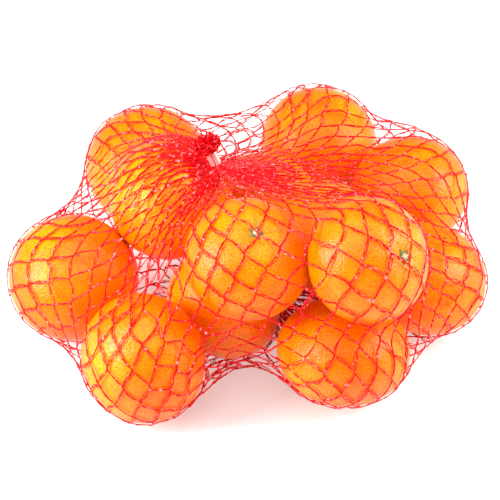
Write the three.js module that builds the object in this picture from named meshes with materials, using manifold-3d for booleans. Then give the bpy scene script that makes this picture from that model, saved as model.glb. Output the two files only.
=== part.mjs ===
// A net of mandarins: thirteen small citrus fruits in a red knitted net that is gathered at the top
// and closed by a crimped metal clip. The fruits lie as they fell, four of them on top of the
// others, and the net is drawn over them. Round the clip its strands are so close that they make a
// cone. Farther out it is open, and the fruits stand out of a skin that sinks into the hollows
// between them. Millimetres, +Z up; the net stands on z = 0.
import * as THREE from "three";
import { mergeVertices } from "three/addons/utils/BufferGeometryUtils.js";
import Module from "manifold-3d";

const NET_THICKNESS = 0.8; // two filaments that cross, between the peel and the outside
const HOOP_PULL = 3; // how hard the net pulls round its girth, against 1 from end to end
const FRONT_SLACK = 0.95; // the share of that pull that is missing in the middle of the front
const SPOKES = 70; // lines that run from the clip over the pile to the middle of the underside
const RINGS = 38; // rows from the clip to the middle of the underside
const EASING_PASSES = 500;
const OVERSHOOT = 1.6; // each pass moves a point this much of the way to its neighbours' mean
const FLOOR_SINK = 0.4; // the net is eased this far under z = 0 and then cut flat

const CONE_TURN = 0.4; // seen from the heart, strands this near the clip hide what is under them
const OPEN_TURN = 0.95; // and beyond this the net is open
const UNDERSIDE_START = -0.15; // slopes between which the skin goes back to the tight net below
const UNDERSIDE_END = -0.45;
const SKIN_SINK = 14; // where the net is open, the skin lies this far under the evened-out pile
const EVENING_PASSES = 8; // how often the pile's reach is evened out with that beside it
const HOLLOW_REACH = 45; // no hollow comes nearer to the heart than this
const FRUIT_TURNS = 22; // facets round a fruit
const FRUIT_RISES = 14; // and from its stem to its other end

const PILE_REACH = 135; // half the width of the loose net before it is drawn tight
const PILE_HEART = new THREE.Vector3(1, -11.5, 34); // every point of the net can be seen from here

const CLIP_LENGTH = 7;
const CLIP_WIDTH = 4.6;
const CLIP_FRONT = 2.3; // from the neck's middle to the face with the seam
const CLIP_BACK = 2;
const CLIP_SEAM = 0.5; // slot between the two legs of the clip
const CLIP_LIP = 0.5; // rounding of each leg at the seam
const CLIP_CORNER = 0.8;
const CLIP_BEVEL = 0.1;
const GAP = 0.3; // between the clip and the bunched net inside it
const NECK_RADIUS = 1.25;
const SKIRT_RADIUS = 6.5; // the bunched net opens to this below the clip
const SKIRT_LENGTH = 7;
const TENT_DROP = 3; // the strands spread out from this far below the clip
const TUFT_RADIUS = 5;
const TUFT_LENGTH = 10;
const TUFT_LOCKS = 7; // bunches of cut ends round the tuft

const CLIP_MIDDLE = new THREE.Vector3(-16, -2.2, 85);
const NECK_AXIS = new THREE.Vector3(-0.36, 0.05, 0.93).normalize();

// Middle of each fruit, its radius round the waist, its half height along the stem, and the way
// the stem points.
const MANDARINS = [
  { at: [-82.5, -23.5, 28.5], waist: 31, half: 27.3, stem: [0.15, -0.38, 0.91] }, // left
  { at: [-47, -79, 31.5], waist: 30, half: 27, stem: [-0.68, -0.68, 0.25] }, // front left
  { at: [-50, 55, 30], waist: 32, half: 29.3, stem: [0.1, -0.25, 0.96] }, // back left
  { at: [-36.5, 1.5, 56.5], waist: 30, half: 27, stem: [-0.3, -0.4, 0.86] }, // on top, left
  { at: [0, -60.5, 75.5], waist: 28.5, half: 24.8, stem: [0.16, -0.29, 0.94] }, // on top, middle
  { at: [7, 26.5, 28], waist: 30.4, half: 26.7, stem: [0.19, 0.19, 0.96] }, // in the middle
  { at: [52.5, -67.5, 81], waist: 28.3, half: 24.9, stem: [0.62, -0.52, 0.59] }, // on top, right
  { at: [43.5, -70.5, 27.3], waist: 30.9, half: 25.1, stem: [0.05, 0.49, 0.87] }, // front right
  { at: [84.5, -22.5, 27], waist: 29, half: 26.1, stem: [0.3, 0.1, 0.95] }, // right
  { at: [80.5, 39, 28], waist: 29.5, half: 26.8, stem: [-0.2, -0.1, 0.97] }, // back right
  { at: [36.5, 77.5, 28], waist: 30.2, half: 27.4, stem: [0.1, -0.1, 0.99] }, // back
  { at: [-11.5, -41.5, 27.8], waist: 28, half: 24.2, stem: [0.6, 0.6, 0.53] }, // under the middle
  { at: [36, -20, 51], waist: 28, half: 25.5, stem: [0.3, -0.2, 0.93] }, // between the top ones
].map(({ at, waist, half, stem }) => ({
  middle: new THREE.Vector3(...at),
  waist: waist + NET_THICKNESS,
  half: half + NET_THICKNESS,
  stem: new THREE.Vector3(...stem).normalize(),
}));

const wasm = await Module();
wasm.setup();

// A closed geometry as a solid that can be joined and cut.
function solidOf(geometry) {
  const bare = geometry.clone();
  bare.deleteAttribute("normal");
  bare.deleteAttribute("uv");
  const merged = mergeVertices(bare, 1e-3);
  return new wasm.Manifold(
    new wasm.Mesh({
      numProp: 3,
      vertProperties: merged.attributes.position.array,
      triVerts: new Uint32Array(merged.index.array),
    }),
  );
}

function geometryOf(solid) {
  const mesh = solid.getMesh();
  const geometry = new THREE.BufferGeometry();
  geometry.setAttribute("position", new THREE.BufferAttribute(mesh.vertProperties, 3));
  geometry.setIndex(new THREE.BufferAttribute(mesh.triVerts, 1));
  geometry.computeVertexNormals();
  return geometry;
}

// Whether a place on the floor lies between the fruits that stand on it: seen from there, they
// are all round it, with no gap as wide as a third of a turn.
function isUnderPile(place) {
  const resting = MANDARINS.filter(({ middle, waist }) => middle.z < 1.2 * waist);
  const turns = resting.map(({ middle }) => Math.atan2(middle.y - place.y, middle.x - place.x));
  turns.sort((a, b) => a - b);
  const gaps = turns.map((turn, i) => (i ? turn - turns[i - 1] : turn + 2 * Math.PI - turns.at(-1)));
  return Math.max(...gaps) < (2 * Math.PI) / 3;
}

// How far out from the pile's heart the peel, or the net on the floor, lies in one direction.
function pileReach(direction) {
  let reach = 1;
  if (direction.z < 0) {
    const toFloor = (PILE_HEART.z + FLOOR_SINK) / -direction.z;
    if (isUnderPile(PILE_HEART.clone().addScaledVector(direction, toFloor))) reach = toFloor;
  }
  for (const { middle, waist, half, stem } of MANDARINS) {
    const squash = (v) => v.clone().addScaledVector(stem, v.dot(stem) * (waist / half - 1));
    const ray = squash(direction);
    const offset = squash(middle.clone().sub(PILE_HEART));
    const nearest = offset.dot(ray) / ray.lengthSq();
    const spare = nearest ** 2 - (offset.lengthSq() - waist ** 2) / ray.lengthSq();
    if (spare > 0) reach = Math.max(reach, nearest + Math.sqrt(spare));
  }
  return reach;
}

// The net as a closed skin of spokes and rings. Each point stays on its own line out from the
// heart of the pile, at 1 / nearness from it. Points on a straight strand have nearnesses that
// add up evenly, so each pass pulls every point towards its four neighbours, as tight strands
// would, and stops it at the peel. Under the pile the net lies flat on the floor. Where the net is
// open, the skin then sinks into the hollows.
function drawnNet() {
  const top = CLIP_MIDDLE.clone().addScaledVector(NECK_AXIS, -CLIP_LENGTH / 2 - TENT_DROP);
  const toTop = top.clone().sub(PILE_HEART);
  const skin = new THREE.SphereGeometry(1, SPOKES, RINGS);
  const upright = new THREE.Vector3(0, 1, 0);
  skin.applyQuaternion(new THREE.Quaternion().setFromUnitVectors(upright, toTop.clone().normalize()));
  const places = skin.attributes.position;
  const directionOf = (ring, spoke) =>
    new THREE.Vector3().fromBufferAttribute(places, ring * (SPOKES + 1) + spoke);
  const rings = [];
  for (let ring = 0; ring <= RINGS; ring++) {
    const ringTurn = (Math.PI * ring) / RINGS;
    const sideways = Math.cos(ringTurn) ** 2 + Math.sin(ringTurn) ** 2 * Math.cos((2 * Math.PI) / SPOKES);
    const row = { sideways, nearness: [], most: [], least: [], pull: [] };
    const spread = Math.min(1, 1 - Math.cos(ringTurn)); // the bunched strands pull lengthways only
    for (let spoke = 0; spoke < SPOKES; spoke++) {
      const direction = directionOf(ring, spoke);
      row.most.push(1 / pileReach(direction));
      row.least.push(Math.max(0, -direction.z) / (PILE_HEART.z + FLOOR_SINK));
      row.pull.push(HOOP_PULL * spread * (1 - FRONT_SLACK * Math.max(0, -direction.y) ** 6));
      row.nearness.push(1 / PILE_REACH);
    }
    rings.push(row);
  }
  rings[0].nearness.fill(1 / toTop.length());
  const lengthways = Math.cos(Math.PI / RINGS);
  for (let pass = 0; pass < EASING_PASSES; pass++) {
    for (let ring = 1; ring < RINGS; ring++) {
      const { sideways, nearness, most, least, pull } = rings[ring];
      for (let spoke = 0; spoke < SPOKES; spoke++) {
        const along = rings[ring - 1].nearness[spoke] + rings[ring + 1].nearness[spoke];
        const across = nearness[(spoke + 1) % SPOKES] + nearness[(spoke + SPOKES - 1) % SPOKES];
        const pulled = along / lengthways + (pull[spoke] * across) / sideways;
        const eased = pulled / (2 + 2 * pull[spoke]);
        const moved = nearness[spoke] + OVERSHOOT * (eased - nearness[spoke]);
        nearness[spoke] = Math.max(least[spoke], Math.min(most[spoke], moved));
      }
    }
    const lastRow = rings[RINGS - 1].nearness;
    rings[RINGS].nearness.fill(lastRow.reduce((sum, n) => sum + n, 0) / SPOKES);
  }
  const evened = evenedPile(rings);
  rings.forEach(({ nearness }, ring) => {
    const open = THREE.MathUtils.smoothstep((Math.PI * ring) / RINGS, CONE_TURN, OPEN_TURN);
    for (let spoke = 0; spoke <= SPOKES; spoke++) {
      const direction = directionOf(ring, spoke);
      const above = THREE.MathUtils.smoothstep(direction.z, UNDERSIDE_END, UNDERSIDE_START);
      const tight = 1 / nearness[spoke % SPOKES];
      const sunk = Math.min(tight, evened[ring][spoke % SPOKES]) - SKIN_SINK;
      const point = direction.multiplyScalar(THREE.MathUtils.lerp(tight, sunk, open * above));
      places.setXYZ(ring * (SPOKES + 1) + spoke, ...point.add(PILE_HEART));
    }
  });
  return skin;
}

// How far out the pile reaches along each spoke and ring, evened out so that the skin is smooth.
function evenedPile(rings) {
  let reaches = rings.map(({ most }) => most.map((nearness) => Math.max(1 / nearness, HOLLOW_REACH)));
  for (let pass = 0; pass < EVENING_PASSES; pass++) {
    reaches = reaches.map((row, ring) => {
      const above = reaches[Math.max(ring - 1, 0)];
      const below = reaches[Math.min(ring + 1, RINGS)];
      return row.map((_, spoke) => {
        const beside = row[(spoke + 1) % SPOKES] + row[(spoke + SPOKES - 1) % SPOKES];
        return (above[spoke] + below[spoke] + beside) / 4;
      });
    });
  }
  return reaches;
}

// One fruit with the net round it.
function fruit({ middle, waist, half, stem }) {
  const ball = new THREE.SphereGeometry(waist, FRUIT_TURNS, FRUIT_RISES);
  ball.scale(1, half / waist, 1);
  ball.applyQuaternion(new THREE.Quaternion().setFromUnitVectors(new THREE.Vector3(0, 1, 0), stem));
  ball.translate(...middle);
  return ball;
}

// The bunched net through the clip: a skirt that opens below it and a tuft of cut ends above it.
function neck() {
  const clipEnd = CLIP_LENGTH / 2;
  const outline = [new THREE.Vector2(0, -clipEnd - SKIRT_LENGTH)];
  for (let step = 0; step <= 6; step++) {
    const fall = 1 - step / 6;
    const radius = NECK_RADIUS + (SKIRT_RADIUS - NECK_RADIUS) * fall ** 1.8;
    outline.push(new THREE.Vector2(radius, -clipEnd - SKIRT_LENGTH * fall));
  }
  outline.push(new THREE.Vector2(NECK_RADIUS, clipEnd));
  for (let step = 1; step < 8; step++) {
    const swell = Math.sin((Math.PI * step) / 8) ** 0.7;
    const radius = Math.max(TUFT_RADIUS * swell, NECK_RADIUS);
    outline.push(new THREE.Vector2(radius, clipEnd + (TUFT_LENGTH * step) / 8));
  }
  outline.push(new THREE.Vector2(0, clipEnd + TUFT_LENGTH));
  const turned = new THREE.LatheGeometry(outline, 4 * TUFT_LOCKS);
  const places = turned.attributes.position;
  for (let i = 0; i < places.count; i++) {
    const rise = places.getY(i) - clipEnd;
    if (rise <= 0) continue;
    const turn = Math.atan2(places.getX(i), places.getZ(i));
    const lock = 1 + 0.16 * Math.cos(TUFT_LOCKS * turn + rise);
    places.setX(i, places.getX(i) * lock);
    places.setZ(i, places.getZ(i) * lock);
  }
  turned.applyQuaternion(new THREE.Quaternion().setFromUnitVectors(new THREE.Vector3(0, 1, 0), NECK_AXIS));
  turned.translate(...CLIP_MIDDLE);
  return turned;
}

function floorBlock() {
  const depth = 20;
  const block = new THREE.BoxGeometry(4 * PILE_REACH, 4 * PILE_REACH, depth);
  block.translate(0, 0, -depth / 2);
  return block;
}

// Points on a quarter or a longer stretch of an ellipse, without its last point.
function arcPoints(x, y, radiusX, radiusY, start, end, steps) {
  const points = [];
  for (let step = 0; step < steps; step++) {
    const turn = start + ((end - start) * step) / steps;
    points.push(new THREE.Vector2(x + radiusX * Math.cos(turn), y + radiusY * Math.sin(turn)));
  }
  return points;
}

// The clip: a strip bent into a ring round the neck, with its two rounded legs meeting at a seam.
function clipGeometry() {
  const side = CLIP_WIDTH / 2;
  const front = -CLIP_FRONT;
  const bore = NECK_RADIUS + GAP;
  const lipX = CLIP_SEAM / 2 + CLIP_LIP;
  const cornerX = side - CLIP_CORNER;
  const quarter = Math.PI / 2;
  const seamTurn = Math.asin(CLIP_SEAM / 2 / bore);
  const outline = [
    ...arcPoints(lipX, front + CLIP_LIP, CLIP_LIP, CLIP_LIP, 2 * quarter, 3 * quarter, 4),
    new THREE.Vector2(lipX, front),
    ...arcPoints(cornerX, front + CLIP_CORNER, CLIP_CORNER, CLIP_CORNER, 3 * quarter, 4 * quarter, 4),
    ...arcPoints(0, 0, side, CLIP_BACK, 0, 2 * quarter, 12),
    ...arcPoints(-cornerX, front + CLIP_CORNER, CLIP_CORNER, CLIP_CORNER, 2 * quarter, 3 * quarter, 4),
    new THREE.Vector2(-cornerX, front),
    ...arcPoints(-lipX, front + CLIP_LIP, CLIP_LIP, CLIP_LIP, 3 * quarter, 4 * quarter, 4),
    new THREE.Vector2(-CLIP_SEAM / 2, front + CLIP_LIP),
    ...arcPoints(0, 0, bore, bore, 3 * quarter - seamTurn, seamTurn - quarter, 20),
    new THREE.Vector2(bore * Math.sin(seamTurn), -bore * Math.cos(seamTurn)),
  ];
  const clip = new THREE.ExtrudeGeometry(new THREE.Shape(outline), {
    depth: CLIP_LENGTH - 2 * CLIP_BEVEL,
    bevelThickness: CLIP_BEVEL,
    bevelSize: CLIP_BEVEL,
    bevelOffset: -CLIP_BEVEL,
    bevelSegments: 2,
  });
  clip.translate(0, 0, -CLIP_LENGTH / 2 + CLIP_BEVEL);
  return clip;
}

const filledNet = wasm.Manifold.union([drawnNet(), neck(), ...MANDARINS.map(fruit)].map(solidOf));
const net = new THREE.Mesh(
  geometryOf(filledNet.subtract(solidOf(floorBlock()))),
  new THREE.MeshStandardMaterial({ color: 0xe8202c, roughness: 0.5, metalness: 0 }),
);
net.name = "net_bag";

const clip = new THREE.Mesh(
  clipGeometry(),
  new THREE.MeshStandardMaterial({ color: 0xd9d4cf, roughness: 0.35, metalness: 1 }),
);
clip.name = "clip";
clip.position.copy(CLIP_MIDDLE);
clip.quaternion.setFromUnitVectors(new THREE.Vector3(0, 0, 1), NECK_AXIS);

// The origin is the middle of the underside.
const pile = new THREE.Group();
pile.add(net, clip);
const middle = new THREE.Box3().setFromObject(pile, true).getCenter(new THREE.Vector3());
pile.position.set(-middle.x, -middle.y, 0);
const mandarinNet = new THREE.Group();
mandarinNet.add(pile);

export default mandarinNet;
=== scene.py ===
# %% [markdown]
# # A net of mandarins
#
# Thirteen small citrus fruits lie in a red knitted net. The net is bunched at the top, closed by a
# crimped aluminium clip, and drawn over the fruits like a tent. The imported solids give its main
# form: one filled bag and the clip. This script puts fruits and netting where the filled bag is.

# %% Load the solids
import math

import bmesh
import bpy
import numpy as np
from mathutils import Matrix, Vector, noise


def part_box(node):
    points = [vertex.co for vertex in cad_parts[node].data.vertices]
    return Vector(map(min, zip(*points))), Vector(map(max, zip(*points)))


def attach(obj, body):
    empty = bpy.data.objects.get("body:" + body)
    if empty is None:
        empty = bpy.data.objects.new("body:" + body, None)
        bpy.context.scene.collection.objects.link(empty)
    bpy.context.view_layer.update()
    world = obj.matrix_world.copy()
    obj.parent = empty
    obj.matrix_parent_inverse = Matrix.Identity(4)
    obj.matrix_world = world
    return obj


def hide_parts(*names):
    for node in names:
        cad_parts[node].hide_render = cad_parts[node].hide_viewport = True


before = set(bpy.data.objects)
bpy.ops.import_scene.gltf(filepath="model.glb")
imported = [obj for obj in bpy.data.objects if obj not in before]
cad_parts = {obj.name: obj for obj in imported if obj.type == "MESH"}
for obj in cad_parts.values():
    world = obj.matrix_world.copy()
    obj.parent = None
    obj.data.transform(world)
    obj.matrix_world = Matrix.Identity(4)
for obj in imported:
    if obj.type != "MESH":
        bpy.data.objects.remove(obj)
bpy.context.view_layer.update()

MM = 0.001

# %% [markdown]
# ## The camera
#
# The photograph looks down on the net from the front, from far enough away that the back fruits
# are hardly smaller than the front ones. A long lens at most of a metre does the same.

# %% Camera
CAMERA_ELEVATION = math.radians(43)
CAMERA_DISTANCE = 850 * MM
CAMERA_TARGET = Vector((1, -11.5, 35)) * MM
CAMERA_LENS = 128.5  # on a sensor 36 wide

towards_camera = Vector((0, -math.cos(CAMERA_ELEVATION), math.sin(CAMERA_ELEVATION)))
camera_data = bpy.data.cameras.new("camera")
camera_data.lens = CAMERA_LENS
camera_data.clip_start = 0.05
camera = bpy.data.objects.new("camera", camera_data)
camera.location = CAMERA_TARGET + towards_camera * CAMERA_DISTANCE
camera.rotation_euler = (math.pi / 2 - CAMERA_ELEVATION, 0, 0)
bpy.context.scene.collection.objects.link(camera)
bpy.context.scene.camera = camera
print("camera at", [round(v, 3) for v in camera.location])

# %% [markdown]
# ## Helpers for materials
#
# Colours are picked as sRGB hex values and turned to linear light once. One function adds a node,
# sets its inputs and properties, and links it to what feeds it.


# %% Helpers for materials
def linear(hex_colour):
    """An sRGB hex colour as linear red, green, blue and alpha."""
    channels = [int(hex_colour[i : i + 2], 16) / 255 for i in (1, 3, 5)]
    light = [c / 12.92 if c <= 0.04045 else ((c + 0.055) / 1.055) ** 2.4 for c in channels]
    return (*light, 1.0)


def add_node(material, kind, settings=None, values=None, links=None):
    """A new node: settings are its properties, values its inputs, links the sockets that feed it."""
    tree = material.node_tree
    node = tree.nodes.new(kind)
    for name, setting in (settings or {}).items():
        setattr(node, name, setting)
    for name, value in (values or {}).items():
        node.inputs[name].default_value = value
    for name, socket in (links or {}).items():
        tree.links.new(socket, node.inputs[name])
    return node


def new_material(name):
    """An empty node material with its output, and that output node."""
    material = bpy.data.materials.new(name)
    material.use_nodes = True
    material.node_tree.nodes.clear()
    output = add_node(material, "ShaderNodeOutputMaterial")
    return material, output


def colour_ramp(material, factor, stops):
    """A ramp from a list of (position, hex colour)."""
    ramp = add_node(material, "ShaderNodeValToRGB", links={"Fac": factor})
    elements = ramp.color_ramp.elements
    while len(elements) < len(stops):
        elements.new(0.5)
    for element, (position, colour) in zip(elements, stops):
        element.position = position
        element.color = linear(colour)
    return ramp.outputs["Color"]


# %% [markdown]
# ## The peel
#
# Mandarin peel is a waxed rind full of oil glands. Each gland is a dot about 1.1 mm from the next,
# a little darker and a little sunk, so the skin looks pebbled and its gloss breaks up softly. The
# colour drifts between yellow and deep orange over a few centimetres.

# %% Peel
GLAND_SPACING = 1.1 * MM
PEBBLE_SIZE = 3.5 * MM
BLUSH_SIZE = 30 * MM

peel, peel_output = new_material("waxed mandarin peel")
place = add_node(peel, "ShaderNodeTexCoord").outputs["Object"]
blush = add_node(
    peel,
    "ShaderNodeTexNoise",
    values={"Scale": 1 / BLUSH_SIZE, "Detail": 2.0, "Roughness": 0.5},
    links={"Vector": place},
)
glands = add_node(
    peel,
    "ShaderNodeTexVoronoi",
    settings={"feature": "F1"},
    values={"Scale": 1 / GLAND_SPACING, "Randomness": 0.8},
    links={"Vector": place},
)
pebbles = add_node(
    peel,
    "ShaderNodeTexNoise",
    values={"Scale": 1 / PEBBLE_SIZE, "Detail": 3.0, "Roughness": 0.6},
    links={"Vector": place},
)
rind_colour = colour_ramp(
    peel, blush.outputs["Fac"], [(0.32, "#FB6E00"), (0.5, "#FE8200"), (0.68, "#FF9A00")]
)
gland_mask = add_node(
    peel,
    "ShaderNodeMapRange",
    values={"From Min": 0.18, "From Max": 0.48, "To Min": 0.8, "To Max": 0.0},
    links={"Value": glands.outputs["Distance"]},
)
peel_colour = add_node(
    peel,
    "ShaderNodeMix",
    settings={"data_type": "RGBA"},
    values={"B": linear("#EE5200")},
    links={"Factor": gland_mask.outputs["Result"], "A": rind_colour},
)
gland_bump = add_node(
    peel,
    "ShaderNodeBump",
    values={"Strength": 0.5, "Distance": 0.35 * MM},
    links={"Height": glands.outputs["Distance"]},
)
pebble_bump = add_node(
    peel,
    "ShaderNodeBump",
    values={"Strength": 0.5, "Distance": 0.6 * MM},
    links={"Height": pebbles.outputs["Fac"], "Normal": gland_bump.outputs["Normal"]},
)
peel_shader = add_node(
    peel,
    "ShaderNodeBsdfPrincipled",
    values={"Roughness": 0.28, "IOR": 1.45, "Specular IOR Level": 0.26},
    links={"Base Color": peel_colour.outputs["Result"], "Normal": pebble_bump.outputs["Normal"]},
)
peel.node_tree.links.new(peel_shader.outputs["BSDF"], peel_output.inputs["Surface"])
print("made", peel.name)

# %% [markdown]
# ## Green stem star and dry scar
#
# Where the stalk was cut, a small dry star of green sepals is left round a pale stub. At the other
# end there is only a brown scar the size of a pinhead. All three are dry plant matter: matt, with a
# fine grain that only shows as uneven colour, so one function makes them.


# %% Stem and scar materials
def dry_plant_matter(name, grain_size, detail, stops, roughness):
    """A matt material whose colour varies with a fine grain."""
    material, output = new_material(name)
    place_in_piece = add_node(material, "ShaderNodeTexCoord").outputs["Object"]
    grain = add_node(
        material,
        "ShaderNodeTexNoise",
        values={"Scale": 1 / grain_size, "Detail": detail},
        links={"Vector": place_in_piece},
    )
    colour = colour_ramp(material, grain.outputs["Fac"], stops)
    shader = add_node(
        material,
        "ShaderNodeBsdfPrincipled",
        values={"Roughness": roughness, "IOR": 1.45},
        links={"Base Color": colour},
    )
    material.node_tree.links.new(shader.outputs["BSDF"], output.inputs["Surface"])
    return material


stem_green = dry_plant_matter(
    "dried green calyx",
    0.9 * MM,
    3.0,
    [(0.35, "#4A3F12"), (0.5, "#716A26"), (0.65, "#8F8A45")],
    0.8,
)
cut_wood = dry_plant_matter(
    "cut stalk wood", 0.7 * MM, 2.0, [(0.38, "#A98F5A"), (0.55, "#F0E2C4")], 0.8
)
cork = dry_plant_matter(
    "dry corky scar", 0.6 * MM, 2.0, [(0.4, "#5A3A1C"), (0.6, "#9A7448")], 0.85
)
print("made", stem_green.name + ",", cut_wood.name, "and", cork.name)

# %% [markdown]
# ## Netting and clip
#
# The net is knitted from polyethylene filament: smooth, tough and bright red, a little deeper or
# brighter from place to place. Every millimetre or two a painted glint of pale pink stands in for
# the highlight where a filament is creased and catches the light. The clip is bright aluminium
# strip, drawn and crimped, with fine scratches up and down. A dull film takes some of its mirror
# away.

# %% Net and clip materials
# the size of the patches of red tone and of the painted glints
TONE_AND_GLINT_SIZE = 1.6 * MM
SCRATCH_SIZE = 0.25 * MM
SCRATCH_STRETCH = 0.08  # the pattern's scale up the clip, against 1 across it

net_red, net_output = new_material("red polyethylene filament")
net_place = add_node(net_red, "ShaderNodeTexCoord").outputs["Object"]
# This noise varies the red's tone at random and places painted glints: the pale pink top of the ramp
# below is painted highlight, not a colour of the filament.
red_tone_and_glints = add_node(
    net_red,
    "ShaderNodeTexNoise",
    values={"Scale": 1 / TONE_AND_GLINT_SIZE, "Detail": 1.0},
    links={"Vector": net_place},
)
net_colour = colour_ramp(
    net_red,
    red_tone_and_glints.outputs["Fac"],
    [(0.3, "#C4040E"), (0.5, "#E60A16"), (0.62, "#F01C24"), (0.715, "#FF9CA2")],
)
net_shader = add_node(
    net_red,
    "ShaderNodeBsdfPrincipled",
    values={"Roughness": 0.25, "IOR": 1.51, "Specular IOR Level": 0.16},
    links={"Base Color": net_colour},
)
net_red.node_tree.links.new(net_shader.outputs["BSDF"], net_output.inputs["Surface"])

aluminium, aluminium_output = new_material("bright drawn aluminium")
strip_place = add_node(aluminium, "ShaderNodeTexCoord").outputs["Object"]
along_strip = add_node(
    aluminium,
    "ShaderNodeMapping",
    values={"Scale": (1.0, 1.0, SCRATCH_STRETCH)},
    links={"Vector": strip_place},
)
scratches = add_node(
    aluminium,
    "ShaderNodeTexNoise",
    values={"Scale": 1 / SCRATCH_SIZE, "Detail": 3.0},
    links={"Vector": along_strip.outputs["Vector"]},
)
strip_colour = colour_ramp(
    aluminium, scratches.outputs["Fac"], [(0.3, "#F2E8E0"), (0.7, "#FFFBF6")]
)
strip_bump = add_node(
    aluminium,
    "ShaderNodeBump",
    values={"Strength": 0.2, "Distance": 0.05 * MM},
    links={"Height": scratches.outputs["Fac"]},
)
strip_shader = add_node(
    aluminium,
    "ShaderNodeBsdfPrincipled",
    values={"Metallic": 0.75, "Roughness": 0.45},
    links={"Base Color": strip_colour, "Normal": strip_bump.outputs["Normal"]},
)
aluminium.node_tree.links.new(strip_shader.outputs["BSDF"], aluminium_output.inputs["Surface"])

clip_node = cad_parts["clip"]
clip_node.data.materials.clear()
clip_node.data.materials.append(aluminium)
print("made", net_red.name, "and", aluminium.name)

# %% [markdown]
# ## The fruits
#
# A mandarin is a ball pressed flat along its stem, a little sunk at both ends, with faint ribs
# that run out from the stem and an uneven waist. No two are the same size. Each starts as an
# icosphere, whose even triangles take the dips and ribs well, and each point is then moved in or
# out along its own line from the middle. Sizes and places are the ones that the solids were made
# round: the middle, the radius round the waist and half the height from end to end, all in
# millimetres, and the way that the end in view points.

# %% Where the fruits lie
FRUITS = {
    "left": ((-82.5, -23.5, 28.5), 31, 27.3, (0.15, -0.38, 0.91)),
    "front_left": ((-47, -79, 31.5), 30, 27, (-0.68, -0.68, 0.25)),
    "back_left": ((-50, 55, 30), 32, 29.3, (0.1, -0.25, 0.96)),
    "top_left": ((-36.5, 1.5, 56.5), 30, 27, (-0.3, -0.4, 0.86)),
    "top_middle": ((0, -60.5, 75.5), 28.5, 24.8, (0.16, -0.29, 0.94)),
    "middle": ((7, 26.5, 28), 30.4, 26.7, (0.19, 0.19, 0.96)),
    "top_right": ((52.5, -67.5, 81), 28.3, 24.9, (0.62, -0.52, 0.59)),
    "front_right": ((43.5, -70.5, 27.3), 30.9, 25.1, (0.05, 0.49, 0.87)),
    "right": ((84.5, -22.5, 27), 29, 26.1, (0.3, 0.1, 0.95)),
    "back_right": ((80.5, 39, 28), 29.5, 26.8, (-0.2, -0.1, 0.97)),
    "back": ((36.5, 77.5, 28), 30.2, 27.4, (0.1, -0.1, 0.99)),
    "under_middle": ((-11.5, -41.5, 27.8), 28, 24.2, (0.6, 0.6, 0.53)),
    "between": ((36, -20, 51), 28, 25.5, (0.3, -0.2, 0.93)),
}
STEM_UP = ("top_middle", "middle", "top_right", "front_right")
STEM_DIP = 1.9 * MM
SCAR_DIP = 0.9 * MM
TOP_DIP_WIDTH = 0.24  # radians from the line between both ends, as are the three below
FOOT_DIP_WIDTH = 0.2
TOP_RIB_WIDTH = 0.55
FOOT_RIB_WIDTH = 0.5
RIBS = 10
RIB_HEIGHT = 0.28 * MM
DENT = 0.7 * MM


def upright_matrix(fruit):
    """Turns local +Z to the end that shows and moves the origin to the fruit's middle."""
    middle, _, _, stem = FRUITS[fruit]
    turn = Vector((0, 0, 1)).rotation_difference(Vector(stem))
    return Matrix.Translation(Vector(middle) * MM) @ turn.to_matrix().to_4x4()


def top_dip(fruit):
    """How far the end that shows is sunk: a stem end more than a scar end."""
    return STEM_DIP if fruit in STEM_UP else SCAR_DIP


def put_out(mesh_maker, name, material):
    """A finished bmesh as an object that rides on the part and stands for the filled bag."""
    mesh = bpy.data.meshes.new(name)
    mesh_maker.to_mesh(mesh)
    mesh_maker.free()
    mesh.shade_smooth()
    mesh.materials.append(material)
    return put_in_scene(mesh, name)


def put_in_scene(mesh, name):
    """A finished mesh as an object that rides on the part and stands for the filled bag."""
    piece = bpy.data.objects.new(name, mesh)
    bpy.context.scene.collection.objects.link(piece)
    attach(piece, "root")
    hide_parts("net_bag")
    return piece


# %% Make the fruits
def make_fruit(fruit, number):
    """One mandarin as a closed mesh of even triangles."""
    _, waist, half, _ = FRUITS[fruit]
    seed = Vector((number * 7.3, number * 3.1, number * 5.7))
    shape = bmesh.new()
    bmesh.ops.create_icosphere(shape, subdivisions=6, radius=1.0)
    for vert in shape.verts:
        ray = vert.co.normalized()
        from_top = math.acos(max(-1.0, min(1.0, ray.z)))
        from_foot = math.pi - from_top
        turn = math.atan2(ray.y, ray.x)
        sunk = top_dip(fruit) * math.exp(-((from_top / TOP_DIP_WIDTH) ** 2))
        sunk += SCAR_DIP * math.exp(-((from_foot / FOOT_DIP_WIDTH) ** 2))
        ribbed = math.exp(-((from_top / TOP_RIB_WIDTH) ** 2))
        ribbed += 0.5 * math.exp(-((from_foot / FOOT_RIB_WIDTH) ** 2))
        sunk += RIB_HEIGHT * ribbed * (0.5 + 0.5 * math.cos(RIBS * turn + number))
        sunk += DENT * (0.5 + 0.5 * noise.noise(ray * 1.3 + seed))
        sunk += 0.35 * DENT * (0.5 + 0.5 * noise.noise(ray * 4.5 + seed))
        body = Vector((ray.x * waist * MM, ray.y * waist * MM, ray.z * half * MM))
        vert.co = body - ray * sunk
    bmesh.ops.transform(shape, matrix=upright_matrix(fruit), verts=shape.verts)
    return shape


for number, fruit in enumerate(FRUITS):
    piece = put_out(make_fruit(fruit, number), "mandarin_" + fruit, peel)
print("made", len(FRUITS), "mandarins of", len(piece.data.polygons), "faces each")

# %% [markdown]
# ## Stem stars and scars
#
# The star is a thick disc whose rim goes out and in five times and rises a little. The stub is a
# short cone and the scar a plain low button. All are made at the origin and then moved to the end
# of their fruit.

# %% Stems and scars
STAR_RADIUS = 4.0 * MM
STAR_THICKNESS = 0.7 * MM
STAR_LOBES = 5
RIM_RISE = 0.35 * MM
STUB_RADIUS = 1.5 * MM
STUB_LENGTH = 2.4 * MM
SCAR_RADIUS = 0.75 * MM
END_SINK = DENT * 0.6  # about the mean depth of the dents, so that the pieces sit in the peel


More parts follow.
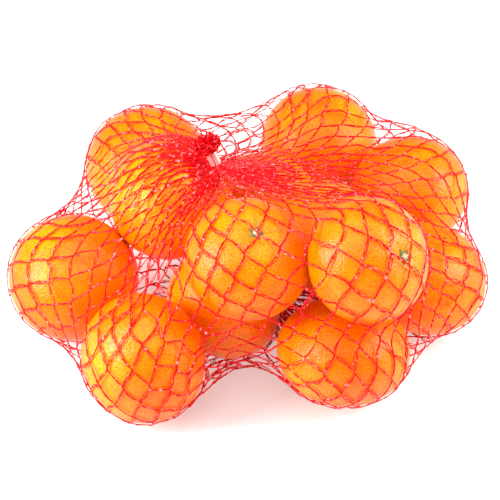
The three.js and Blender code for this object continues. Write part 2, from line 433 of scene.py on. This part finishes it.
def add_star(shape, matrix):
    """A five-lobed calyx."""
    made = bmesh.ops.create_cone(
        shape,
        cap_ends=True,
        segments=20,
        radius1=STAR_RADIUS,
        radius2=STAR_RADIUS * 0.8,
        depth=STAR_THICKNESS,
    )["verts"]
    for vert in made:
        turn = math.atan2(vert.co.y, vert.co.x)
        lobe = 0.8 + 0.2 * math.cos(STAR_LOBES * turn)
        vert.co.x *= lobe
        vert.co.y *= lobe
        vert.co.z += RIM_RISE * (vert.co.xy.length / STAR_RADIUS)
    bmesh.ops.transform(shape, matrix=matrix, verts=made)


def add_stub(shape, matrix):
    """The short end of the stalk, cut across."""
    made = bmesh.ops.create_cone(
        shape,
        cap_ends=True,
        segments=12,
        radius1=STUB_RADIUS,
        radius2=STUB_RADIUS * 0.85,
        depth=STUB_LENGTH,
    )["verts"]
    bmesh.ops.transform(shape, matrix=matrix, verts=made)


def add_scar(shape, matrix):
    """A low round button."""
    made = bmesh.ops.create_uvsphere(shape, u_segments=12, v_segments=6, radius=SCAR_RADIUS)["verts"]
    bmesh.ops.scale(shape, vec=(1, 1, 0.45), verts=made)
    bmesh.ops.transform(shape, matrix=matrix, verts=made)


stems = bmesh.new()
stubs = bmesh.new()
scars = bmesh.new()
for fruit, (_, _, half, _) in FRUITS.items():
    on_top = Matrix.Translation((0, 0, half * MM - top_dip(fruit) - END_SINK))
    foot = Matrix.Translation((0, 0, half * MM - SCAR_DIP - END_SINK))
    foot = Matrix.Rotation(math.pi, 4, "X") @ foot
    stem_end, scar_end = (on_top, foot) if fruit in STEM_UP else (foot, on_top)
    add_star(stems, upright_matrix(fruit) @ stem_end)
    add_stub(stubs, upright_matrix(fruit) @ stem_end)
    add_scar(scars, upright_matrix(fruit) @ scar_end)
put_out(stems, "stem_stars", stem_green)
put_out(stubs, "stalk_stubs", cut_wood)
put_out(scars, "blossom_scars", cork)
print("made", len(FRUITS), "stem stars, stubs and scars")

# %% [markdown]
# ## Laying the net on the pile
#
# Tight strands run straight from fruit to fruit and bend only where they touch peel. To find that
# form, the net is first treated as a skin. Each of its points lies on its own line out from the
# heart of the pile, and is stored by its nearness, 1 over its distance. Nearnesses along a
# straight strand add up evenly, so each pass moves every point to the mean of its neighbours and
# then back outside the fruits. Netting is a little stiff, and behind the pile it stands off the
# tight line in two places.

# %% The tight skin over the fruits
HEART = np.array([1, -11.5, 34]) * MM
NECK_AXIS = np.array([-0.36, 0.05, 0.93])
NECK_AXIS /= np.linalg.norm(NECK_AXIS)
CLIP_HALF = 3.5 * MM  # half the height of the clip
TENT_DROP = 3 * MM  # the strands spread out from this far below the clip
NET_THICKNESS = 0.8 * MM
LOOSE_REACH = 135 * MM  # where the skin starts, before it is drawn tight
HOOP_PULL = 6  # how hard the net pulls round its girth, against 1 from end to end
FRONT_SLACK = 1.0  # the share of that pull that is missing in the middle of the front
FRONT_FADE = 4  # how fast the slack fades towards the sides
# A stiff span: fall and turn of its middle, share added to its reach, and half width in radians.
STIFF_SPANS = ((1.17, 1.54, 0.085, 0.28), (1.58, 0.76, 0.06, 0.13))
SPAN_STRETCH = 1.5  # a span's length down the net over its width round it, squared
RINGS = 60
SPOKES = 120
SKIN_PASSES = 400
OVERSHOOT = 1.6  # each step goes this many times as far as the mean, to settle sooner

clip_low, clip_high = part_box("clip")
clip_middle = np.array((clip_low + clip_high) / 2)
tent_top = clip_middle - NECK_AXIS * (CLIP_HALF + TENT_DROP)
top_reach = np.linalg.norm(tent_top - HEART)
pole = (tent_top - HEART) / top_reach
side = np.array([1.0, 0, 0]) - pole * pole[0]
side /= np.linalg.norm(side)
across = np.cross(pole, side)


def direction(fall, turn):
    """Unit vectors at an angle down from the pole and an angle round it."""
    ring = np.cos(turn)[..., None] * side + np.sin(turn)[..., None] * across
    return np.cos(fall)[..., None] * pole + np.sin(fall)[..., None] * ring


def peel_reach(rays, gap):
    """How far from the heart each ray leaves the last fruit that it meets."""
    reach = np.full(rays.shape[:-1], MM)
    for middle, waist, half, stem in FRUITS.values():
        stem = np.array(stem) / np.linalg.norm(stem)
        wide, tall = waist * MM + gap, half * MM + gap
        offset = np.array(middle) * MM - HEART
        offset = offset + stem * (offset @ stem) * (wide / tall - 1)
        ray = rays + stem * (rays @ stem)[..., None] * (wide / tall - 1)
        squared = (ray**2).sum(-1)
        nearest = (ray @ offset) / squared
        spare = nearest**2 - (offset @ offset - wide**2) / squared
        leaving = nearest + np.sqrt(np.maximum(spare, 0))
        reach = np.where(spare > 0, np.maximum(reach, leaving), reach)
    return reach


falls, turns = np.meshgrid(
    np.linspace(0, np.pi, RINGS + 1), np.linspace(-np.pi, np.pi, SPOKES + 1)[:-1], indexing="ij"
)
rays = direction(falls, turns)
nearest_allowed = 1 / peel_reach(rays, NET_THICKNESS)
farthest_allowed = np.maximum(0, -rays[..., 2]) / HEART[2]  # the floor
gathered = np.minimum(1, 1 - np.cos(falls))  # bunched strands pull lengthways only
hoop = HOOP_PULL * gathered * (1 - FRONT_SLACK * np.maximum(0, -rays[..., 1]) ** FRONT_FADE)
sideways = np.cos(falls) ** 2 + np.sin(falls) ** 2 * np.cos(2 * np.pi / SPOKES)
lengthways = np.cos(np.pi / RINGS)
chequer = np.add.outer(np.arange(RINGS + 1), np.arange(SPOKES)) % 2
nearness = np.full(falls.shape, 1 / LOOSE_REACH)
nearness[0] = 1 / top_reach
for skin_pass in range(SKIN_PASSES):
    for shade in (0, 1):
        along = np.zeros_like(nearness)
        along[1:-1] = (nearness[:-2] + nearness[2:]) / lengthways
        beside = (np.roll(nearness, 1, 1) + np.roll(nearness, -1, 1)) / sideways
        eased = (along + hoop * beside) / (2 + 2 * hoop)
        moved = nearness + OVERSHOOT * (eased - nearness)
        moved = np.clip(moved, farthest_allowed, nearest_allowed)
        moving = chequer == shade
        moving[[0, -1]] = False
        nearness[moving] = moved[moving]
    nearness[-1] = nearness[-2].mean()
for span_fall, span_turn, share, width in STIFF_SPANS:
    apart = (falls - span_fall) ** 2 / SPAN_STRETCH + (turns - span_turn) ** 2
    nearness /= 1 + share * np.exp(-apart / width**2)
nearness = np.column_stack([nearness, nearness[:, 0]])
print("skin from", round(1 / nearness.max() / MM, 1), "to", round(1 / nearness.min() / MM, 1), "mm")

# %% [markdown]
# A point is looked up in that table between its four nearest entries. The normal is found from
# two more look-ups beside it.


# %% Helpers that lay points on the form
def angles(points):
    """How far each point lies down from the pole and round it, seen from the heart."""
    offset = points - HEART
    offset = offset / np.linalg.norm(offset, axis=-1, keepdims=True)
    fall = np.arccos(np.clip(offset @ pole, -1, 1))
    return fall, np.arctan2(offset @ across, offset @ side)


def on_form(fall, turn, level=0.0):
    """Points on the form at these angles, raised by level."""
    row = np.clip(fall / np.pi * RINGS, 0, RINGS - 1e-6)
    column = ((turn + np.pi) / (2 * np.pi) * SPOKES) % SPOKES
    row_low, column_low = row.astype(int), column.astype(int)
    down, along = row - row_low, column - column_low
    upper = nearness[row_low, column_low] * (1 - along) + nearness[row_low, column_low + 1] * along
    row_low = row_low + 1
    lower = nearness[row_low, column_low] * (1 - along) + nearness[row_low, column_low + 1] * along
    far = 1 / (upper * (1 - down) + lower * down) + level
    return HEART + direction(fall, turn) * far[..., None]


def laid(points, level=0.0):
    """Points moved along their lines from the heart onto the form."""
    fall, turn = angles(points)
    return on_form(fall, turn, level)


def normals(points):
    """The form's outward normals under these points."""
    fall, turn = angles(points)
    small = 0.03
    down = on_form(fall + small, turn) - on_form(np.maximum(fall - small, 0), turn)
    wide = on_form(fall, turn + small) - on_form(fall, turn - small)
    normal = np.cross(down, wide)
    return normal / (np.linalg.norm(normal, axis=-1, keepdims=True) + 1e-12)


def clear_of_fruits(points, gap):
    """Points moved out of any fruit, to stand at least gap off its peel."""
    for middle, waist, half, stem in FRUITS.values():
        stem = np.array(stem) / np.linalg.norm(stem)
        offset = points - np.array(middle) * MM
        along = offset @ stem
        across_squared = (offset**2).sum(-1) - along**2
        wide, tall = waist * MM + gap, half * MM + gap
        depth = np.sqrt(across_squared / wide**2 + along**2 / tall**2)
        inside = depth < 1
        points = points + offset * np.where(inside, 1 / np.maximum(depth, 1e-6) - 1, 0)[..., None]
    return points


# %% [markdown]
# ## The knots
#
# The net is a knitted tube of diamonds, all with the same sides. It is widest over the pile, and
# runs together at the clip and in the middle of the underside. Knots start in rows from the clip
# to the underside, and are then pulled about until each side of each diamond has about its own
# length, while every knot stays on the form. Some strands slip into the hollows between fruits,
# where the net hangs in pleats.

# %% Rows of knots
DIAMONDS_ROUND = 46
DIAMOND_SIDE = 11.2 * MM
PLEATS = ((-0.05, 0.28, 0.5), (-1.95, 0.5, 0.6), (2.5, 0.3, 0.5))  # turn, pull and width
SETTLING_PASSES = 220
TAUT_PULL = 0.3  # the share of a side's excess length that one pass takes out
SLACK_PUSH = 0.05  # the same for a side that is too short
TENSION = 0.03  # the share of the way to the middle of its neighbours that a knot goes
NECK_TENSION = 0.3  # what is added to that at the clip, to draw the strands straight
NECK_ROWS = 4  # how many rows it takes for this to fade
SIDE_UNEVENNESS = 0.1
FIRST_SHARE = 0.03  # of the way from the clip to the middle of the underside
LAST_SHARE = 0.965
WIDEST_SPREAD = 0.97  # of a side, so that a diamond never closes into a line
random = np.random.default_rng(12)


def pleated(turn):
    """Turns drawn towards each pleat."""
    moved = turn.copy()
    for middle, pull, width in PLEATS:
        apart = (turn - middle + np.pi) % (2 * np.pi) - np.pi
        moved -= pull * apart * np.exp(-((apart / width) ** 2))
    return moved


skin = on_form(falls, turns)
ring_lengths = np.linalg.norm(skin - np.roll(skin, 1, 1), axis=2).sum(1)
step_lengths = np.linalg.norm(np.diff(skin, axis=0), axis=2)
run = np.vstack([np.zeros(SPOKES), np.cumsum(step_lengths, axis=0)])
mean_run = run.mean(1)
shares = [FIRST_SHARE]
while shares[-1] < LAST_SHARE:
    girth = np.interp(shares[-1] * mean_run[-1], mean_run, ring_lengths)
    spread = min(WIDEST_SPREAD, girth / DIAMONDS_ROUND / 2 / DIAMOND_SIDE)
    shares.append(shares[-1] + DIAMOND_SIDE * math.sqrt(1 - spread**2) / mean_run[-1])
rows = len(shares)
knot_turns = np.zeros((rows, DIAMONDS_ROUND))
knot_falls = np.zeros((rows, DIAMONDS_ROUND))
for row, share in enumerate(shares):
    even_turns = (np.arange(DIAMONDS_ROUND) + 0.5 * (row % 2)) * 2 * np.pi / DIAMONDS_ROUND - np.pi
    knot_turns[row] = pleated(even_turns)
    for column, turn in enumerate(knot_turns[row]):
        spoke = int(((turn + np.pi) / (2 * np.pi) * SPOKES) % SPOKES)
        knot_falls[row, column] = np.interp(share * run[-1, spoke], run[:, spoke], falls[:, 0])
knots = on_form(knot_falls, knot_turns)
print(rows, "rows of", DIAMONDS_ROUND, "knots")

# %% [markdown]
# Each knot is tied to two knots of the next row. In an even row they are the one straight below
# and the one before it, in an odd row the one below and the one after it. A side that is too long
# pulls hard, and one that is too short pushes only a little, as a slack strand would. Tension also
# draws each knot towards the middle of its four neighbours, most of all near the clip.

# %% Let the knots settle
numbers = np.arange(rows * DIAMONDS_ROUND).reshape(rows, DIAMONDS_ROUND)
starts, ends = [], []
for row in range(rows - 1):
    slide = 1 if row % 2 == 0 else -1
    starts += [numbers[row], numbers[row]]
    ends += [numbers[row + 1], np.roll(numbers[row + 1], slide)]
starts, ends = np.concatenate(starts), np.concatenate(ends)
unevenness = random.uniform(1 - SIDE_UNEVENNESS, 1 + SIDE_UNEVENNESS, len(starts))
side_lengths = DIAMOND_SIDE * unevenness
points = knots.reshape(-1, 3).copy()
fixed = np.zeros(len(points), bool)
fixed[numbers[0]] = True
fixed[numbers[-1]] = True
tension = TENSION + NECK_TENSION * np.exp(-((np.arange(rows) / NECK_ROWS) ** 2))
tension = np.repeat(tension, DIAMONDS_ROUND)[:, None]
for settling in range(SETTLING_PASSES):
    apart = points[ends] - points[starts]
    length = np.linalg.norm(apart, axis=1)
    excess = length - side_lengths
    pull = apart * (np.where(excess > 0, TAUT_PULL, SLACK_PUSH) * excess / length)[:, None]
    moves = np.zeros_like(points)
    np.add.at(moves, starts, pull + apart * tension[starts] / 4)
    np.add.at(moves, ends, -pull - apart * tension[ends] / 4)
    moves[fixed] = 0
    points = laid(points + moves)
knots = points.reshape(rows, DIAMONDS_ROUND, 3)
lengths = (np.linalg.norm(points[ends] - points[starts], axis=1) / MM).round(1)
print("diamond sides", lengths.mean().round(1), "mm, from", lengths.min(), "to", lengths.max())

# %% [markdown]
# ## The strands
#
# Every side of a diamond is a knitted chain. Two filaments run along it and part in the middle, so
# they leave a small slot, and a third goes to and fro between them. At a knot the strands of both
# leanings run side by side for a moment and swap places. A filament is drawn as a thin tube along
# all the knots it passes, from the clip down to the underside. The strands that lean one way are
# one piece and those that lean the other way are the second.

# %% Paths of the strands
FILAMENT_RADIUS = 0.21 * MM
STRAND_LEVEL = -0.3 * MM  # the strands lie within the skin, whose face is their outside
PEEL_GAP = 0.3 * MM
KNOT_LENGTH = 2.2 * MM
KNOT_HALF_WIDTH = 0.35 * MM
KNOT_UNEVENNESS = (0.5, 1.4)
STEPS_PER_SIDE = 4
PARTING = 0.6 * MM
PARTING_UNEVENNESS = (0.3, 1.4)
PARTING_AT_KNOT = 0.35  # as a share of the parting in the middle of a side
SLACK_REACH = 70 * MM  # from the clip to where the filaments of a strand part freely
BOW = 0.45 * MM
WOBBLE = 0.15 * MM
TAUT_SHARE = 0.25  # of the parting, right at the clip


def knot_frames():
    """For each knot, the way down the net and the way round it."""
    padded = np.concatenate([knots[:1], knots, knots[-1:]])
    down = padded[2:] - padded[:-2]
    down /= np.linalg.norm(down, axis=2, keepdims=True)
    round_net = np.cross(normals(knots), down)
    round_net /= np.linalg.norm(round_net, axis=2, keepdims=True)
    return down, round_net


def strand_line(first, leaning):
    """The middle line of one strand from the clip to the underside."""
    column = first
    stops = []
    for row in range(rows):
        half = KNOT_LENGTH / 2 * random.uniform(*KNOT_UNEVENNESS)
        swap = KNOT_HALF_WIDTH * leaning
        middle, fall, wide = knots[row, column], down[row, column], round_net[row, column]
        stops.append(middle - fall * half - wide * swap)
        stops.append(middle + fall * half + wide * swap)
        if leaning > 0:
            column = (column + row % 2) % DIAMONDS_ROUND
        else:
            column = (column - 1 + row % 2) % DIAMONDS_ROUND
    line = [stops[0], stops[1]]
    for row in range(rows - 1):
        start, end = stops[2 * row + 1], stops[2 * row + 2]
        bow = random.normal(0, BOW)
        wide = np.cross(end - start, start - HEART)
        wide /= np.linalg.norm(wide)
        for step in range(1, STEPS_PER_SIDE):
            share = step / STEPS_PER_SIDE
            line.append(start + (end - start) * share + wide * bow * math.sin(math.pi * share))
        line += [end, stops[2 * row + 3]]
    return laid(np.array(line), STRAND_LEVEL)


down, round_net = knot_frames()
print("knots swap over", round(KNOT_LENGTH / MM, 1), "mm")


# %% Filaments of a strand
FOLD_SPREAD = 1.5 * MM
FOLD_SINK = 1.2 * MM


def chain(line):
    """The three filaments of a strand: two at its edges and one to and fro between them."""
    normal = normals(line)
    forward = np.gradient(line, axis=0)
    forward /= np.linalg.norm(forward, axis=1, keepdims=True)
    wide = np.cross(forward, normal)
    beat = np.arange(len(line)) % (STEPS_PER_SIDE + 1)
    open_share = np.where(beat < 2, PARTING_AT_KNOT, np.sin(np.pi * (beat - 1) / STEPS_PER_SIDE))
    sides = 1 + len(line) // (STEPS_PER_SIDE + 1)
    slackness = np.repeat(random.uniform(*PARTING_UNEVENNESS, sides), STEPS_PER_SIDE + 1)
    slackness = slackness[: len(line)]
    from_clip = np.linalg.norm(line - clip_middle, axis=1)
    freedom = np.clip(from_clip / SLACK_REACH, TAUT_SHARE, 1)
    parting = PARTING * open_share * slackness * freedom
    wobble = random.normal(0, WOBBLE, (3, len(line)))
    lift = random.normal(0, WOBBLE, (3, len(line)))
    to_and_fro = np.where(np.arange(len(line)) % 2 == 0, 1, -1) * parting * 0.8
    chains = []
    for number, offset in enumerate((parting, -parting, to_and_fro)):
        shift = wide * (offset + wobble[number])[:, None] + normal * lift[number][:, None]
        chains.append(clear_of_fruits(line + shift, PEEL_GAP))
    return chains


def fold(line):
    """A filament beside a strand, from where the net is closed to one of the next three knots."""
    stop = (STEPS_PER_SIDE + 1) * random.integers(1, 4) + 1
    share = np.linspace(0, 1, stop)
    wide = np.cross(line[1] - line[0], line[0] - HEART)
    wide /= np.linalg.norm(wide)
    spread = random.normal(0, FOLD_SPREAD) * np.sin(np.pi * share)
    sink = random.uniform(0, FOLD_SINK)
    sunk = laid(line[:stop] + wide * spread[:, None], STRAND_LEVEL - sink)
    return clear_of_fruits(sunk, PEEL_GAP)


# %% [markdown]
# Above the first row of knots the filaments run up the skirt, through the clip and into the tuft.
# Round the clip the net is gathered in folds, so there each strand has a few more filaments close
# beside it, which end at one of its knots. The other end of the net is closed below the fruits and
# lies in folds too.

# %% Draw the strands
NECK_RADIUS = 1.1 * MM
SKIRT_DROP = 1.6 * MM
FOLDS = 2  # for each strand, at the clip
FOOT_FOLDS = 4  # for each strand, under the fruits
SKIRT_FLARE = 1.7
neck_side = np.cross(NECK_AXIS, across)
neck_side /= np.linalg.norm(neck_side)
neck_across = np.cross(NECK_AXIS, neck_side)


def through_neck(line):
    """The filament with its run through the clip put before it."""
    offset = line[0] - tent_top
    turn = math.atan2(offset @ neck_across, offset @ neck_side)
    out = neck_side * math.cos(turn) + neck_across * math.sin(turn)
    radius = NECK_RADIUS * math.sqrt(random.uniform(0.1, 1.0))
    upper = clip_middle + NECK_AXIS * CLIP_HALF + out * radius
    lower = clip_middle - NECK_AXIS * CLIP_HALF + out * radius
    skirt = clip_middle - NECK_AXIS * (CLIP_HALF + SKIRT_DROP) + out * radius * SKIRT_FLARE
    return np.vstack([upper, lower, skirt, line])


def tube_piece(lines, name, radius, material):
    """One mesh piece of thin tubes with closed ends along these lines."""
    curve = bpy.data.curves.new(name, "CURVE")
    curve.dimensions = "3D"
    curve.bevel_depth = radius
    curve.bevel_resolution = 0
    curve.use_fill_caps = True
    for line in lines:
        line = np.maximum(line, (-np.inf, -np.inf, radius))  # it lies on the floor, not in it
        spline = curve.splines.new("POLY")
        spline.points.add(len(line) - 1)
        spline.points.foreach_set("co", np.column_stack([line, np.ones(len(line))]).ravel())
    holder = bpy.data.objects.new(name + "_lines", curve)
    bpy.context.scene.collection.objects.link(holder)
    bpy.context.view_layer.update()
    drawn = holder.evaluated_get(bpy.context.evaluated_depsgraph_get())
    mesh = bpy.data.meshes.new_from_object(drawn)
    bpy.data.objects.remove(holder)
    mesh.name = name
    mesh.materials.clear()
    mesh.materials.append(material)
    mesh.shade_smooth()
    mesh.calc_loop_triangles()
    put_in_scene(mesh, name)
    print("made", name, "of", len(lines), "filaments and", len(mesh.loop_triangles), "triangles")


gathered_folds = []
for leaning, name in ((1, "net_strands_right"), (-1, "net_strands_left")):
    filaments = []
    for first in range(DIAMONDS_ROUND):
        line = strand_line(first, leaning)
        filaments += [through_neck(filament) for filament in chain(line)]
        gathered_folds += [through_neck(fold(line)) for _ in range(FOLDS)]
        gathered_folds += [fold(line[::-1]) for _ in range(FOOT_FOLDS)]
    tube_piece(filaments, name, FILAMENT_RADIUS, net_red)
tube_piece(gathered_folds, "gathered_folds", FILAMENT_RADIUS, net_red)

# %% [markdown]
# ## The tuft
#
# Above the clip the net was cut off, and its filaments spring out into a tight, fuzzy ball. Each
# cut end leaves the clip near the neck's middle, bends outwards by its own amount and curls.

# %% Tuft of cut ends
TUFT_ENDS = 460
TUFT_LENGTH = 10 * MM
TUFT_RADIUS = 6.8 * MM
TUFT_ROOT = 1 * MM  # how far inside the clip the ends start
TUFT_CURL = 1.1 * MM
TUFT_STEPS = 6

ends_of_net = []
for end in range(TUFT_ENDS):
    turn = random.uniform(0, 2 * math.pi)
    out = neck_side * math.cos(turn) + neck_across * math.sin(turn)
    sideways_of_end = np.cross(NECK_AXIS, out)
    flare = TUFT_RADIUS * math.sqrt(random.uniform(0.02, 1))
    height = TUFT_LENGTH * random.uniform(0.45, 1.0) * (1 - 0.4 * (flare / TUFT_RADIUS) ** 2)
    curl = random.normal(0, TUFT_CURL)
    root_radius = NECK_RADIUS * 0.8
    line = []
    for step in range(TUFT_STEPS + 1):
        share = step / TUFT_STEPS
        grown = root_radius + (flare - root_radius) * math.sin(math.pi / 2 * share) ** 1.2
        rise = CLIP_HALF - TUFT_ROOT + (height + TUFT_ROOT) * share**0.9
        swing = curl * math.sin(math.pi * share * 1.5)
        line.append(clip_middle + out * grown + NECK_AXIS * rise + sideways_of_end * swing)
    ends_of_net.append(np.array(line))
tube_piece(ends_of_net, "tuft", FILAMENT_RADIUS, net_red)

# %% [markdown]
# ## Studio
#
# A white acrylic sheet, lit a little from below to keep its shadows pale, under a pale sky.
# A soft box low on the left puts the pale sheen on the left of each fruit, a weaker one on the
# right lights their other sides, and a wide, faint one hangs above.


# %% Floor and lights
def soft_box(name, towards, distance, size, power):
    """A square area light of this size and power, this far from the pile and facing it."""
    data = bpy.data.lights.new(name, "AREA")
    data.size = size
    data.energy = power
    light = bpy.data.objects.new(name, data)
    away = Vector(towards).normalized()
    light.location = CAMERA_TARGET + away * distance
    light.rotation_euler = away.to_track_quat("Z", "Y").to_euler()
    bpy.context.scene.collection.objects.link(light)


soft_box("left_box", (-0.9, -0.3, 0.5), 0.7, 0.4, 9)
soft_box("right_box", (0.85, 0.0, 0.5), 0.8, 0.5, 8)
soft_box("top_box", (-0.1, -0.1, 1.1), 0.8, 0.8, 5.5)

FLOOR_HALF = 6
FLOOR_DROP = 0.05 * MM  # keeps the floor clear of what lies on it
FLOOR_GLOW = 0.42
SKY_STRENGTH = 0.24
floor_shape = bmesh.new()
bmesh.ops.create_grid(floor_shape, x_segments=1, y_segments=1, size=FLOOR_HALF)
floor_mesh = bpy.data.meshes.new("floor")
floor_shape.to_mesh(floor_mesh)
floor_shape.free()
floor = bpy.data.objects.new("floor", floor_mesh)
floor.location.z = -FLOOR_DROP
bpy.context.scene.collection.objects.link(floor)
acrylic, acrylic_output = new_material("matt white acrylic sheet")
acrylic_shader = add_node(
    acrylic,
    "ShaderNodeBsdfPrincipled",
    values={
        "Base Color": linear("#D8D8D8"),
        "Roughness": 0.9,
        "Specular IOR Level": 0.1,
        "Emission Color": linear("#FFFFFF"),
        "Emission Strength": FLOOR_GLOW,
    },
)
acrylic.node_tree.links.new(acrylic_shader.outputs["BSDF"], acrylic_output.inputs["Surface"])
floor_mesh.materials.append(acrylic)

world = bpy.data.worlds.new("white sky")
world.use_nodes = True
world.node_tree.nodes["Background"].inputs["Color"].default_value = (1, 1, 1, 1)
world.node_tree.nodes["Background"].inputs["Strength"].default_value = SKY_STRENGTH
bpy.context.scene.world = world
bpy.context.scene.view_settings.view_transform = "Standard"
